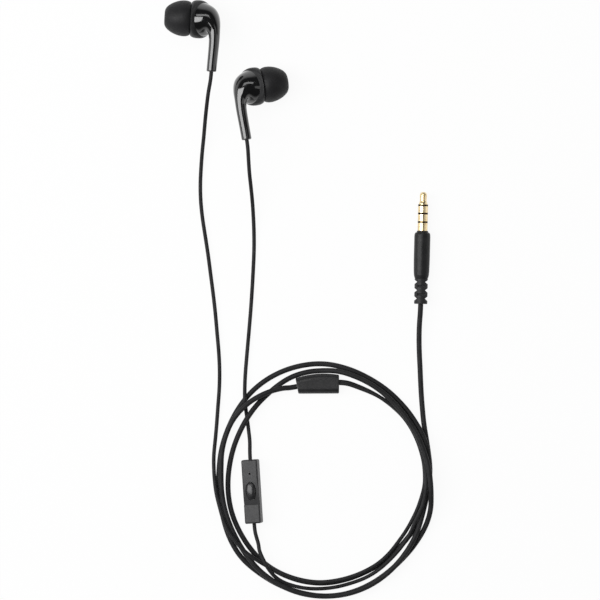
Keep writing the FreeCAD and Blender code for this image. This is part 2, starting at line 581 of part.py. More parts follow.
def splitter():
    """Soft block over the joint of the three cords; its left end is cut at a slant."""
    points = [V(x, y, 0) for x, y in SPLITTER_PLAN]
    bow = Part.Arc(points[0], V(*SPLITTER_CROWN, 0), points[1]).toShape()
    outline = Part.Wire([bow] + Part.makePolygon(points[1:] + points[:1]).Edges)
    block_shape = Part.Face(outline).extrude(V(0, 0, SPLITTER_HEIGHT))
    long_edges = [e for e in block_shape.Edges if e.BoundBox.XLength > 10]
    block_shape = block_shape.makeFillet(SPLITTER_EDGE, long_edges)
    ends = [f for f in block_shape.Faces if f.BoundBox.XLength < 1.2]
    end_edges = [e for f in ends for e in f.Edges]
    block_shape = block_shape.makeFillet(SPLITTER_END_EDGE, end_edges)
    core = block((SPLITTER_CORE_LENGTH, SPLITTER_CORE_WIDTH,
                  SPLITTER_HEIGHT - 2 * SPLITTER_WALL), 0, 0, SPLITTER_WALL)
    return {"splitter_cover": block_shape.cut(core), "splitter_core": core}


# --- plug ---

def strain_relief():
    """Soft tail, notched at both sides and slotted above and below between the notches."""
    tail = disc(RELIEF_R, BARREL_END, RELIEF_END)
    tail = tail.makeFillet(0.3, [tail.Edges[0], tail.Edges[2]])
    seat = disc(BARREL_BORE_R, BARREL_END - 1.4, BARREL_END + 1)
    cuts = []
    first = BARREL_END + 1.35
    for index in range(3):
        mid = first + index * RELIEF_PITCH
        for side in (-1, 1):
            corners = [V(side * (RELIEF_R - NOTCH_DEPTH), -3, mid),
                       V(side * (RELIEF_R + 0.2), -3, mid - 0.95),
                       V(side * (RELIEF_R + 0.2), -3, mid + 0.95)]
            cuts.append(Part.Face(Part.makePolygon(corners + corners[:1])).extrude(V(0, 6, 0)))
    for index in range(2):
        mid = first + (index + 0.5) * RELIEF_PITCH
        for side in (-1, 1):
            cuts.append(Part.makeBox(2 * (RELIEF_R - NOTCH_DEPTH), 2, 0.85,
                                     V(NOTCH_DEPTH - RELIEF_R, side * 2.4 - 1, mid - 0.42)))
    return tail.cut(cuts).fuse(seat).removeSplitter()


def plug():
    """Four contacts in a line, nested insulators, inner mould, barrel and strain relief."""
    ring_1_r = PIN_R + LAYER
    ring_2_r = ring_1_r + CONTACT_TUBE + LAYER
    sleeve_r = ring_2_r + CONTACT_TUBE + LAYER
    tail = SLEEVE[1] + 2.4
    point = turned([(0, 0), (0.5, 0), (0.9, 0.22), (1.15, 0.62), (1.26, 1.15), (1.2, 2.2),
                    (1.2, 3.1), (1.3, 3.6), (1.55, 4.1), (1.55, TIP_CONTACT),
                    (PIN_R, TIP_CONTACT), (PIN_R, tail), (0, tail)])
    band_1 = ring(PIN_R, CONTACT_R, TIP_CONTACT, RING_1[0]).fuse(
        ring(PIN_R, ring_1_r, TIP_CONTACT, tail - 0.6))
    contact_1 = ring(ring_1_r, CONTACT_R, *RING_1).fuse(
        ring(ring_1_r, ring_1_r + CONTACT_TUBE, RING_1[0], tail - 1.0))
    band_2 = ring(ring_1_r + CONTACT_TUBE, CONTACT_R, RING_1[1], RING_2[0]).fuse(
        ring(ring_1_r + CONTACT_TUBE, ring_2_r, RING_1[1], tail - 1.4))
    contact_2 = ring(ring_2_r, CONTACT_R, *RING_2).fuse(
        ring(ring_2_r, ring_2_r + CONTACT_TUBE, RING_2[0], tail - 1.8))
    band_3 = ring(ring_2_r + CONTACT_TUBE, CONTACT_R, RING_2[1], SLEEVE[0]).fuse(
        ring(ring_2_r + CONTACT_TUBE, sleeve_r, RING_2[1], tail - 2.2))
    root_r = CONTACT_R - SLEEVE_STEP
    shoulder = PLUG_FRONT - MOVING_GAP
    sleeve = ring(sleeve_r, CONTACT_R, SLEEVE[0], shoulder).fuse([
        ring(sleeve_r, root_r, shoulder, SLEEVE[1]),
        ring(sleeve_r, BARREL_BORE_R - SEAT_GAP, SLEEVE[1] - 0.5, SLEEVE[1])])
    shell = turned([
        (root_r + SEAT_GAP, PLUG_FRONT), (PLUG_NOSE_R - 0.15, PLUG_FRONT),
        (PLUG_NOSE_R, PLUG_FRONT + 0.15), (PLUG_NOSE_R + 0.05, PLUG_FRONT + 0.55),
        (BARREL_R - 0.45, PLUG_FRONT + 0.65), (BARREL_R - 0.18, PLUG_FRONT + 0.95),
        (BARREL_R - 0.05, PLUG_FRONT + 1.4), (BARREL_R, PLUG_FRONT + 2.2),
        (BARREL_R, BARREL_END - 6.5),
        (BARREL_R - 0.08, BARREL_END - 2.5), (BARREL_R - 0.2, BARREL_END - 1.0),
        (BARREL_END_R, BARREL_END), (BARREL_BORE_R, BARREL_END),
        (BARREL_BORE_R, SLEEVE[1] - 0.5), (root_r + SEAT_GAP, SLEEVE[1] - 0.5)])
    mould = disc(BARREL_BORE_R, tail + 0.2, BARREL_END - 1.4)
    return {"plug_tip_contact": point, "plug_insulator_1": band_1, "plug_ring_1": contact_1,
            "plug_insulator_2": band_2, "plug_ring_2": contact_2, "plug_insulator_3": band_3,
            "plug_sleeve": sleeve, "plug_barrel": shell, "plug_inner_mould": mould,
            "plug_strain_relief": strain_relief()}


# --- cords ---

def on_loop(rows):
    """Corners of a looped stretch; each stands outside the curve that rounds it."""
    corners = []
    for index, (clock, radius, height) in enumerate(rows):
        before = rows[max(index - 1, 0)][0]
        after = rows[min(index + 1, len(rows) - 1)][0]
        radius = radius / math.cos(math.radians((after - before) / 4))
        turn = math.radians(clock)
        corners.append(V(LOOP_AT[0] + radius * math.sin(turn),
                         LOOP_AT[1] + radius * math.cos(turn), height))
    return corners


def route(corners):
    """Straight runs joined by tangent arcs, and the radius of each arc."""
    edges, radii = [], []
    start = corners[0]
    for before, corner, after in zip(corners, corners[1:], corners[2:]):
        run_in, run_out = corner - before, after - corner
        half_turn = run_in.getAngle(run_out) / 2
        reach = ARC_SHARE * min(run_in.Length, run_out.Length)
        radius = reach / math.tan(half_turn)
        inward = (run_out / run_out.Length - run_in / run_in.Length).normalize()
        first = corner - run_in / run_in.Length * reach
        middle = corner + inward * (radius / math.cos(half_turn) - radius)
        last = corner + run_out / run_out.Length * reach
        edges.append(Part.LineSegment(start, first).toShape())
        edges.append(Part.Arc(first, middle, last).toShape())
        radii.append(radius)
        start = last
    edges.append(Part.LineSegment(start, corners[-1]).toShape())
    return Part.Wire(edges), radii


def cord_tube(name, corners, diameter):
    """A round tube along the route, checked by its volume."""
    path, radii = route(corners)
    heading = corners[1] - corners[0]
    section = Part.Wire(Part.Circle(corners[0], heading, diameter / 2).toShape())
    tube = path.makePipeShell([section], True, False)
    expected = math.pi * diameter ** 2 / 4 * path.Length
    print(f"{name}: length {path.Length:.1f} mm, least arc radius {min(radii):.1f} mm, "
          f"volume {tube.Volume / expected:.4f} of section times length")
    return tube, path


def self_gap(path, diameter):
    """Least gap of a coiled tube to itself, on points along its path."""
    points = path.discretize(Distance=0.5)
    skip = int(8 * diameter)
    least = 1e9
    for index, here in enumerate(points):
        for there in points[index + skip:]:
            least = min(least, (here - there).Length)
    return least - diameter


def at_height(placement_xy, rotation, pieces):
    """A placement that lets the lowest of the pieces touch the table."""
    trial = FreeCAD.Placement(CENTRE, rotation)
    low = min(moved(shape, trial).optimalBoundingBox().ZMin for shape in pieces)
    return FreeCAD.Placement(V(placement_xy[0], placement_xy[1], -low), rotation)


def main():
    os.makedirs("parts", exist_ok=True)
    solids = {}

    bud = earbud()
    stem_end = DRIVER_FRAME.multVec(V(0, -STEM_END, STEM_END_BACK))
    mirrored = {name: shape.mirror(CENTRE, X_AXIS) for name, shape in bud.items()}
    left_end = V(-stem_end.x, stem_end.y, stem_end.z)
    exits = {}

    def leave(name, placement, point, heading):
        """Where a cord leaves a piece, and a point straight out from it."""
        exits[name] = [placement.multVec(point), placement.multVec(point + heading * STRAIGHT)]

    for side, pieces, at, turn, dip, end in (
            ("left", mirrored, LEFT_AT, LEFT_TURN, -LEFT_DIP, left_end),
            ("right", bud, RIGHT_AT, RIGHT_TURN, RIGHT_DIP, stem_end)):
        spin = FreeCAD.Rotation(Z_AXIS, turn).multiply(FreeCAD.Rotation(Y_AXIS, dip))
        place = at_height(at, spin, [pieces["front_housing"], pieces["ear_tip"]])
        for name, shape in pieces.items():
            solids[f"{side}_{name}"] = moved(shape, place)
        leave(side, place, end, -Y_AXIS)

    handset = remote()
    spin = FreeCAD.Rotation(Z_AXIS, REMOTE_TURN).multiply(
        FreeCAD.Rotation(Y_AXIS, REMOTE_ROLL))
    place = at_height(REMOTE_AT, spin, [handset["remote_rear_shell"]])
    for name, shape in handset.items():
        solids[name] = moved(shape, place)
    leave("remote_top", place, V(0, REMOTE_LENGTH / 2, REMOTE_SPLIT), Y_AXIS)
    leave("remote_bottom", place, V(0, -REMOTE_LENGTH / 2, REMOTE_SPLIT), -Y_AXIS)

    here = FreeCAD.Placement(V(SPLITTER_AT[0], SPLITTER_AT[1], 0), FreeCAD.Rotation())
    for name, shape in splitter().items():
        solids[name] = moved(shape, here)

    along = FreeCAD.Rotation(Z_AXIS, PLUG_TURN).multiply(FreeCAD.Rotation(X_AXIS, 90))
    place = FreeCAD.Placement(V(PLUG_POINT[0], PLUG_POINT[1], BARREL_R), along)
    for name, shape in plug().items():
        solids[name] = moved(shape, place)
    leave("plug", place, V(0, 0, RELIEF_END), Z_AXIS)

    # The main cord enters the slanted end of the splitter, the thin pair its square end
    top, low = V(*SPLITTER_PLAN[0], 0), V(*SPLITTER_PLAN[3], 0)
    slant = (low - top).normalize()
    leave("splitter_main", here, top + slant * MAIN_ENTRY + Z_AXIS * (SPLITTER_HEIGHT / 2 + 0.2),
          slant.cross(Z_AXIS))
    right_end = SPLITTER_PLAN[1][0]
    leave("splitter_left", here, V(right_end, 0.75, 1.3), X_AXIS)
    leave("splitter_right", here, V(right_end, 0.15, 2.75), X_AXIS)

    loop = on_loop(MAIN_LOOP)
    lead = [V(*corner) for corner in PLUG_LEAD]
    join = (lead[-1] + loop[0]) / 2
    routes = {
        "main_cord_lead": (exits["plug"] + lead + [join], MAIN_D),
        "main_cord_coil": ([join] + loop + exits["splitter_main"][::-1], MAIN_D),
        "left_cord": (exits["left"] + [V(*c) for c in LEFT_FREE]
                      + on_loop(LEFT_LOOP)[::-1] + exits["splitter_left"][::-1], THIN_D),
        "right_cord_upper": (exits["right"] + [V(*c) for c in RIGHT_UPPER]
                             + exits["remote_top"][::-1], THIN_D),
        "right_cord_lower": (exits["remote_bottom"] + [V(*c) for c in REMOTE_TAIL]
                             + on_loop(RIGHT_LOOP)[::-1] + exits["splitter_right"][::-1],
                             THIN_D)}
    for name, (corners, diameter) in routes.items():
        solids[name], path = cord_tube(name, corners, diameter)
        if name == "main_cord_coil":
            print(f"{name}: least gap to itself {self_gap(path, diameter):.2f} mm")

    # The origin lies on the table under the middle of the two earbuds
    buds = Part.makeCompound([solids[f"{side}_{name}"] for side in ("left", "right")
                              for name in bud]).optimalBoundingBox()
    origin = V(buds.Center.x, buds.Center.y, 0)
    print("origin moved by", [round(c, 3) for c in origin],
          "earbuds measure", round(buds.XLength, 2), round(buds.YLength, 2))
    for name, shape in solids.items():
        shape.translate(-origin)
        shape.exportStep(f"parts/{name}.step")
        print(name, "valid" if shape.isValid() else "NOT VALID", len(shape.Solids),
              f"{shape.Volume:.3f}")
    for name, (point, _) in exits.items():
        print("exit", name, [round(c, 2) for c in point - origin])


main()
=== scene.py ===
# Wired in-ear earphones on a white table: two earbuds, an in-line remote, a splitter and a plug.
import bpy
import json
import math
from mathutils import Matrix, Vector


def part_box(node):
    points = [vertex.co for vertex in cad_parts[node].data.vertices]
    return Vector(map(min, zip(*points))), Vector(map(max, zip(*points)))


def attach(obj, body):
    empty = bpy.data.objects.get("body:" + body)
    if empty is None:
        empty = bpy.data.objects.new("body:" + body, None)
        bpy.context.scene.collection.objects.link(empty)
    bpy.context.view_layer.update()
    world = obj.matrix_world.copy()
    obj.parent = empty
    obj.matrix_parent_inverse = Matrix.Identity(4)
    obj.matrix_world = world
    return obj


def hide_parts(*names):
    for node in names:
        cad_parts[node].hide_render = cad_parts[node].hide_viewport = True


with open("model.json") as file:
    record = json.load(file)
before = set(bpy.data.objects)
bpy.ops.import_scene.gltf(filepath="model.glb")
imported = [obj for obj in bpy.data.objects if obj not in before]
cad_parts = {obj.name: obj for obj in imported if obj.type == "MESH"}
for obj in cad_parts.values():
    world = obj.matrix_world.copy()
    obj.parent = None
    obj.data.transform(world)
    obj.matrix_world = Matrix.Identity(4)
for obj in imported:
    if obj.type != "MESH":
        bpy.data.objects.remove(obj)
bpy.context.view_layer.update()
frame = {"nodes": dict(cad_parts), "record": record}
nodes = frame["nodes"]
MM = 0.001
BODY = "earphones"


# --- camera -----------------------------------------------------------------------------------

VIEW_WIDTH = 213.0          # width of the table that the camera takes in
LOOK_AT = (26.0, -81.2)     # point of the table straight below the camera
LENS, SENSOR = 300.0, 36.0

camera_data = bpy.data.cameras.new("camera")
camera_data.lens = LENS
camera_data.sensor_width = SENSOR
camera_data.clip_end = 20
camera = bpy.data.objects.new("camera", camera_data)
camera.location = (LOOK_AT[0] * MM, LOOK_AT[1] * MM, VIEW_WIDTH * MM * LENS / SENSOR)
bpy.context.scene.collection.objects.link(camera)
bpy.context.scene.camera = camera


# --- materials --------------------------------------------------------------------------------

COLOUR_STOPS = (0.35, 0.65)     # where in the noise the dark and the light colour begin


def ranged(tree, source, given, wanted):
    """A value carried from one range to another."""
    node = tree.nodes.new("ShaderNodeMapRange")
    node.inputs["From Min"].default_value, node.inputs["From Max"].default_value = given
    node.inputs["To Min"].default_value, node.inputs["To Max"].default_value = wanted
    tree.links.new(source, node.inputs["Value"])
    return node


def combined(tree, operation, first, second):
    """Two values joined by one sum."""
    node = tree.nodes.new("ShaderNodeMath")
    node.operation = operation
    tree.links.new(first, node.inputs[0])
    tree.links.new(second, node.inputs[1])
    return node.outputs[0]


class Finish:
    """A Principled material whose colour, roughness and relief come from noise in object space."""

    def __init__(self, name, roughness, metallic=0.0, coat=0.0, sheen=0.0, specular=0.5):
        self.material = bpy.data.materials.new(name)
        self.material.use_nodes = True
        self.tree = self.material.node_tree
        self.shader = self.tree.nodes["Principled BSDF"]
        self.shader.inputs["Roughness"].default_value = roughness
        self.shader.inputs["Metallic"].default_value = metallic
        self.shader.inputs["Coat Weight"].default_value = coat
        self.shader.inputs["Coat Roughness"].default_value = 0.05
        self.shader.inputs["Sheen Weight"].default_value = sheen
        self.shader.inputs["Specular IOR Level"].default_value = specular
        self.place = self.tree.nodes.new("ShaderNodeTexCoord").outputs["Object"]
        self.normal = None

    def noise(self, per_mm, detail=4.0, stretch=(1, 1, 1)):
        """Noise with features of about one over per_mm millimetres."""
        mapping = self.tree.nodes.new("ShaderNodeMapping")
        mapping.inputs["Scale"].default_value = stretch
        self.tree.links.new(self.place, mapping.inputs["Vector"])
        noise = self.tree.nodes.new("ShaderNodeTexNoise")
        noise.inputs["Scale"].default_value = per_mm / MM
        noise.inputs["Detail"].default_value = detail
        self.tree.links.new(mapping.outputs["Vector"], noise.inputs["Vector"])
        return noise.outputs["Fac"]

    def colour(self, source, dark, light):
        node = self.tree.nodes.new("ShaderNodeValToRGB")
        for element, stop, shade in zip(node.color_ramp.elements, COLOUR_STOPS, (dark, light)):
            element.position = stop
            element.color = (*shade, 1)
        self.tree.links.new(source, node.inputs["Fac"])
        self.tree.links.new(node.outputs["Color"], self.shader.inputs["Base Color"])

    def gloss(self, source, smooth, rough, low=0.3, high=0.7):
        node = ranged(self.tree, source, (low, high), (smooth, rough))
        self.tree.links.new(node.outputs["Result"], self.shader.inputs["Roughness"])

    def relief(self, source, height_mm, strength=1.0):
        node = self.tree.nodes.new("ShaderNodeBump")
        node.inputs["Distance"].default_value = height_mm * MM
        node.inputs["Strength"].default_value = strength
        self.tree.links.new(source, node.inputs["Height"])
        if self.normal:
            self.tree.links.new(self.normal, node.inputs["Normal"])
        self.normal = node.outputs["Normal"]
        self.tree.links.new(self.normal, self.shader.inputs["Normal"])

    def rings(self, per_mm, along, through):
        """Turning marks: fine rings round an axis that runs along a direction."""
        mapping = self.tree.nodes.new("ShaderNodeMapping")
        mapping.vector_type = "TEXTURE"
        mapping.inputs["Location"].default_value = through
        mapping.inputs["Rotation"].default_value = along.to_track_quat("X", "Z").to_euler()
        self.tree.links.new(self.place, mapping.inputs["Vector"])
        wave = self.tree.nodes.new("ShaderNodeTexWave")
        wave.wave_type = "BANDS"
        wave.bands_direction = "X"
        wave.inputs["Scale"].default_value = per_mm / MM / 20
        wave.inputs["Distortion"].default_value = 0.6
        self.tree.links.new(mapping.outputs["Vector"], wave.inputs["Vector"])
        return wave.outputs["Fac"]


def soft_rubber(name, dark, light, rough=0.55, sheen=0.02, grain=6.0, depth=0.006,
                specular=0.2):
    finish = Finish(name, rough, sheen=sheen, specular=specular)
    cloud = finish.noise(0.25, 3)
    finish.colour(cloud, dark, light)
    finish.gloss(finish.noise(1.2, 5), rough - 0.07, rough + 0.1)
    finish.relief(finish.noise(grain, 6), depth)
    return finish.material


def moulded_plastic(name, dark, light, rough=0.42, grain=9.0, depth=0.004, coat=0.0,
                    specular=0.35):
    finish = Finish(name, rough, coat=coat, specular=specular)
    finish.colour(finish.noise(0.4, 4), dark, light)
    finish.gloss(finish.noise(2.5, 6), rough - 0.06, rough + 0.07)
    finish.relief(finish.noise(grain, 5), depth)
    finish.relief(finish.noise(0.5, 2), 0.004, 0.5)
    return finish.material


def metal(name, dark, light, rough, grain=12.0, depth=0.0015):
    finish = Finish(name, rough, metallic=1.0)
    finish.colour(finish.noise(0.6, 4), dark, light)
    finish.gloss(finish.noise(3.0, 6), rough - 0.05, rough + 0.08)
    finish.relief(finish.noise(grain, 4), depth)
    return finish.material


def gloss_shell():
    """Polished black plastic with a trace of orange peel and hairline wear in its gloss."""
    finish = Finish("polished_black", 0.12, coat=1.0)
    finish.colour(finish.noise(0.3, 3), (0.003, 0.003, 0.0033), (0.005, 0.005, 0.0056))
    hair = finish.noise(1.6, 8, stretch=(1, 0.12, 1))
    finish.gloss(hair, 0.10, 0.18, 0.45, 0.75)
    finish.relief(finish.noise(0.45, 2), 0.006, 0.35)
    return finish.material


def plated_contact():
    """Gold plating over turned brass."""
    finish = Finish("gold_plating", 0.28, metallic=1.0)
    finish.colour(finish.noise(0.35, 4), (0.80, 0.61, 0.33), (0.90, 0.74, 0.45))
    finish.gloss(finish.noise(2.0, 6), 0.22, 0.34)
    low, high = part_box("plug_sleeve")
    finish.relief(finish.rings(14, PLUG_AXIS, (low + high) / 2), 0.0012, 0.6)
    return finish.material


PLUG_AXIS = Vector((math.sin(math.radians(1.45)), math.cos(math.radians(1.45)), 0))

silicone = soft_rubber("tip_silicone", (0.010, 0.010, 0.0107), (0.014, 0.014, 0.015),
                       rough=0.5, grain=4.0, depth=0.004)
collar_plastic = moulded_plastic("collar_plastic", (0.012, 0.012, 0.0128),
                                 (0.017, 0.017, 0.018), rough=0.45, depth=0.008)
shell_black = gloss_shell()
jacket = soft_rubber("cord_jacket", (0.014, 0.014, 0.0148), (0.020, 0.020, 0.021),
                     rough=0.5, grain=5.0, depth=0.006, specular=0.12)
remote_plastic = moulded_plastic("remote_plastic", (0.020, 0.020, 0.021),
                                 (0.028, 0.028, 0.0294), rough=0.42)
button_plastic = moulded_plastic("button_plastic", (0.013, 0.013, 0.0137),
                                 (0.019, 0.019, 0.020), rough=0.3, depth=0.002, coat=0.25)
splitter_rubber = soft_rubber("splitter_rubber", (0.013, 0.013, 0.0137),
                              (0.019, 0.019, 0.020), rough=0.36, grain=7.0, specular=0.3)
barrel_plastic = moulded_plastic("barrel_plastic", (0.010, 0.010, 0.0105),
                                 (0.015, 0.015, 0.0158), rough=0.4, depth=0.007,
                                 specular=0.22)
relief_rubber = soft_rubber("relief_rubber", (0.016, 0.016, 0.017), (0.022, 0.022, 0.0232),
                            rough=0.45, grain=6.0)
bush_rubber = soft_rubber("bush_rubber", (0.010, 0.010, 0.0107), (0.015, 0.015, 0.016))
gold = plated_contact()
insulator = moulded_plastic("contact_insulator", (0.009, 0.005, 0.003),
                            (0.018, 0.010, 0.006), rough=0.6, specular=0.06)
steel = metal("zinc_steel", (0.42, 0.42, 0.44), (0.56, 0.56, 0.58), 0.35)
screen_steel = metal("screen_steel", (0.20, 0.20, 0.21), (0.30, 0.30, 0.31), 0.32)
magnet_metal = metal("nickel_magnet", (0.52, 0.51, 0.50), (0.66, 0.65, 0.63), 0.22)
copper = metal("enamelled_copper", (0.55, 0.20, 0.09), (0.72, 0.32, 0.16), 0.3, grain=20)
film = moulded_plastic("diaphragm_film", (0.50, 0.47, 0.36), (0.62, 0.59, 0.48), rough=0.3)
board = moulded_plastic("solder_mask", (0.012, 0.075, 0.03), (0.02, 0.11, 0.045), rough=0.35)
frame_plastic = moulded_plastic("driver_plastic", (0.02, 0.02, 0.02), (0.035, 0.035, 0.035))
foam = soft_rubber("gasket_foam", (0.02, 0.02, 0.02), (0.04, 0.04, 0.04), rough=0.85,
                   grain=10, depth=0.03)
filler = moulded_plastic("filler_plastic", (0.10, 0.10, 0.10), (0.14, 0.14, 0.14))

FINISHES = {
    "ear_tip": silicone, "nozzle_mesh": screen_steel, "front_housing": collar_plastic,
    "rear_housing": shell_black, "cord_grommet": bush_rubber, "driver_frame": frame_plastic,
    "surround": foam, "diaphragm": film, "voice_coil": copper, "yoke": steel,
    "magnet": magnet_metal, "top_plate": steel, "terminal_board": board}
FINISHES = {f"{side}_{name}": finish for side in ("left", "right")
            for name, finish in FINISHES.items()}
FINISHES.update({
    "remote_front_shell": remote_plastic, "remote_rear_shell": remote_plastic,
    "remote_button": button_plastic, "switch_plunger": frame_plastic,
    "remote_switch": frame_plastic, "remote_circuit_board": board,
    "microphone_capsule": frame_plastic, "microphone_gasket": foam,
    "remote_upper_bush": bush_rubber, "remote_lower_bush": bush_rubber,
    "splitter_cover": splitter_rubber, "splitter_core": filler,
    "plug_tip_contact": gold, "plug_ring_1": gold, "plug_ring_2": gold, "plug_sleeve": gold,
    "plug_insulator_1": insulator, "plug_insulator_2": insulator,
    "plug_insulator_3": insulator, "plug_barrel": barrel_plastic,
    "plug_inner_mould": filler, "plug_strain_relief": relief_rubber})
for name, finish in FINISHES.items():
    slots = nodes[name].data.materials
    slots.clear()
    slots.append(finish)


# --- woven nozzle screens ---------------------------------------------------------------------

SCREEN_PITCH, WIRE_D = 0.30, 0.11      # spacing of the wires and their thickness
SCREEN_RIM = 0.32                      # width of the bright ring that clamps the cloth
WIRE_SIDES, RIM_SIDES = 8, 64
STEPS_PER_WIRE = 6                     # points along a wire for each wire across it


def woven_cloth_tree(finish):
    """Node tree of two crossing sets of wires, over and under each other, in a ring."""
    tree = bpy.data.node_groups.new("woven_cloth", "GeometryNodeTree")
    face = tree.interface
    face.new_socket("Geometry", in_out="OUTPUT", socket_type="NodeSocketGeometry")
    face.new_socket("Geometry", in_out="INPUT", socket_type="NodeSocketGeometry")
    for label in ("Radius", "Pitch", "Wire", "Rim"):
        face.new_socket(label, in_out="INPUT", socket_type="NodeSocketFloat")
    new, link = tree.nodes.new, tree.links.new
    given = new("NodeGroupInput").outputs

    def math_node(operation, first, second=None):
        node = new("ShaderNodeMath")
        node.operation = operation
        for socket, value in zip(node.inputs, (first, second)):
            if isinstance(value, (int, float)):
                socket.default_value = value
            elif value is not None:
                link(value, socket)
        return node.outputs[0]

    def vector(x=None, y=None, z=None):
        node = new("ShaderNodeCombineXYZ")
        for socket, value in zip(node.inputs, (x, y, z)):
            if value is not None:
                link(value, socket)
        return node.outputs[0]

    def tube(curve, radius):
        profile = new("GeometryNodeCurvePrimitiveCircle")
        profile.inputs["Resolution"].default_value = WIRE_SIDES
        link(radius, profile.inputs["Radius"])
        node = new("GeometryNodeCurveToMesh")
        link(curve, node.inputs["Curve"])
        link(profile.outputs["Curve"], node.inputs["Profile Curve"])
        node.inputs["Fill Caps"].default_value = True
        return node.outputs["Mesh"]

    radius, pitch = given["Radius"], given["Pitch"]
    half_wire = math_node("MULTIPLY", given["Wire"], 0.5)
    reach = math_node("SUBTRACT", radius, math_node("MULTIPLY", given["Rim"], 0.5))
    per_side = math_node("FLOOR", math_node("DIVIDE", reach, pitch))
    count = math_node("ADD", math_node("MULTIPLY", per_side, 2), 1)
    first = math_node("MULTIPLY", math_node("MULTIPLY", per_side, pitch), -1)
    ends = new("GeometryNodeMeshLine")
    link(count, ends.inputs["Count"])
    link(vector(y=first), ends.inputs["Start Location"])
    link(vector(y=pitch), ends.inputs["Offset"])
    straight = new("GeometryNodeCurvePrimitiveLine")
    link(vector(x=math_node("MULTIPLY", reach, -1)), straight.inputs["Start"])
    link(vector(x=reach), straight.inputs["End"])
    fine = new("GeometryNodeResampleCurve")
    link(straight.outputs["Curve"], fine.inputs["Curve"])
    link(math_node("MULTIPLY", count, STEPS_PER_WIRE), fine.inputs["Count"])
    row = new("GeometryNodeInstanceOnPoints")
    link(ends.outputs["Mesh"], row.inputs["Points"])
    link(fine.outputs["Curve"], row.inputs["Instance"])
    wires = new("GeometryNodeRealizeInstances")
    link(row.outputs["Instances"], wires.inputs["Geometry"])
    where = new("ShaderNodeSeparateXYZ")
    link(new("GeometryNodeInputPosition").outputs[0], where.inputs[0])
    along, across = where.outputs["X"], where.outputs["Y"]
    crossings = math_node("DIVIDE", math_node("ADD", along, across), pitch)
    wave = math_node("COSINE", math_node("MULTIPLY", crossings, math.pi))
    lift = math_node("MULTIPLY", wave, half_wire)
    waved = new("GeometryNodeSetPosition")
    link(wires.outputs["Geometry"], waved.inputs["Geometry"])
    link(vector(z=lift), waved.inputs["Offset"])
    outside = math_node("GREATER_THAN", math_node("ADD", math_node("MULTIPLY", along, along),
                                                  math_node("MULTIPLY", across, across)),
                        math_node("MULTIPLY", reach, reach))
    trimmed = new("GeometryNodeDeleteGeometry")
    trimmed.domain = "POINT"
    link(waved.outputs["Geometry"], trimmed.inputs["Geometry"])
    link(outside, trimmed.inputs["Selection"])
    warp = tube(trimmed.outputs["Geometry"], half_wire)
    weft = new("GeometryNodeTransform")
    link(warp, weft.inputs["Geometry"])
    weft.inputs["Rotation"].default_value = (math.pi, 0, math.pi / 2)
    circle = new("GeometryNodeCurvePrimitiveCircle")
    circle.inputs["Resolution"].default_value = RIM_SIDES
    link(reach, circle.inputs["Radius"])
    ring = tube(circle.outputs["Curve"], math_node("MULTIPLY", given["Rim"], 0.5))
    both = new("GeometryNodeJoinGeometry")
    for piece in (warp, weft.outputs["Geometry"], ring):
        link(piece, both.inputs["Geometry"])
    smooth = new("GeometryNodeSetShadeSmooth")
    link(both.outputs["Geometry"], smooth.inputs["Geometry"])
    whole = new("GeometryNodeRealizeInstances")
    link(smooth.outputs["Geometry"], whole.inputs["Geometry"])
    coated = new("GeometryNodeSetMaterial")
    link(whole.outputs["Geometry"], coated.inputs["Geometry"])
    coated.inputs["Material"].default_value = finish
    link(coated.outputs["Geometry"], new("NodeGroupOutput").inputs["Geometry"])
    return tree


def woven_screen(side, tree):
    """The cloth over a nozzle's mouth, square to the way that its tip pulls off."""
    node = f"{side}_nozzle_mesh"
    low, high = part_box(node)
    middle = (Vector(low) + Vector(high)) / 2
    way = Vector(next(j["axis"] for j in frame["record"]["behaviour"]["joints"]
                      if j["name"] == f"{side}_ear_tip_pull"))
    corners = [v.co - middle for v in nodes[node].data.vertices]
    radius = max((corner - way * corner.dot(way)).length for corner in corners)
    holder = bpy.data.objects.new("cloth", bpy.data.meshes.new("cloth"))
    bpy.context.scene.collection.objects.link(holder)
    modifier = holder.modifiers.new("weave", "NODES")
    modifier.node_group = tree
    sizes = {"Radius": radius, "Pitch": SCREEN_PITCH * MM, "Wire": WIRE_D * MM,
             "Rim": SCREEN_RIM * MM}
    for item in tree.interface.items_tree:
        if item.in_out == "INPUT" and item.name in sizes:
            modifier[item.identifier] = sizes[item.name]
    ready = holder.evaluated_get(bpy.context.evaluated_depsgraph_get())
    mesh = bpy.data.meshes.new_from_object(ready)
    bpy.data.objects.remove(holder)
    place = Matrix.Translation(middle)
    mesh.transform(place @ way.to_track_quat("Z", "Y").to_matrix().to_4x4())
    screen = bpy.data.objects.new(f"{side}_woven_screen", mesh)
    bpy.context.scene.collection.objects.link(screen)
    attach(screen, BODY)
    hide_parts(node)


weave = woven_cloth_tree(screen_steel)
for side in ("left", "right"):
    woven_screen(side, weave)


# --- cords ------------------------------------------------------------------------------------

ORIGIN = (0.093, -0.522)    # the row's origin in the frame of the routes below
LOOP_AT = (34.65, -146.3)
MAIN_D, THIN_D = 1.85, 1.35

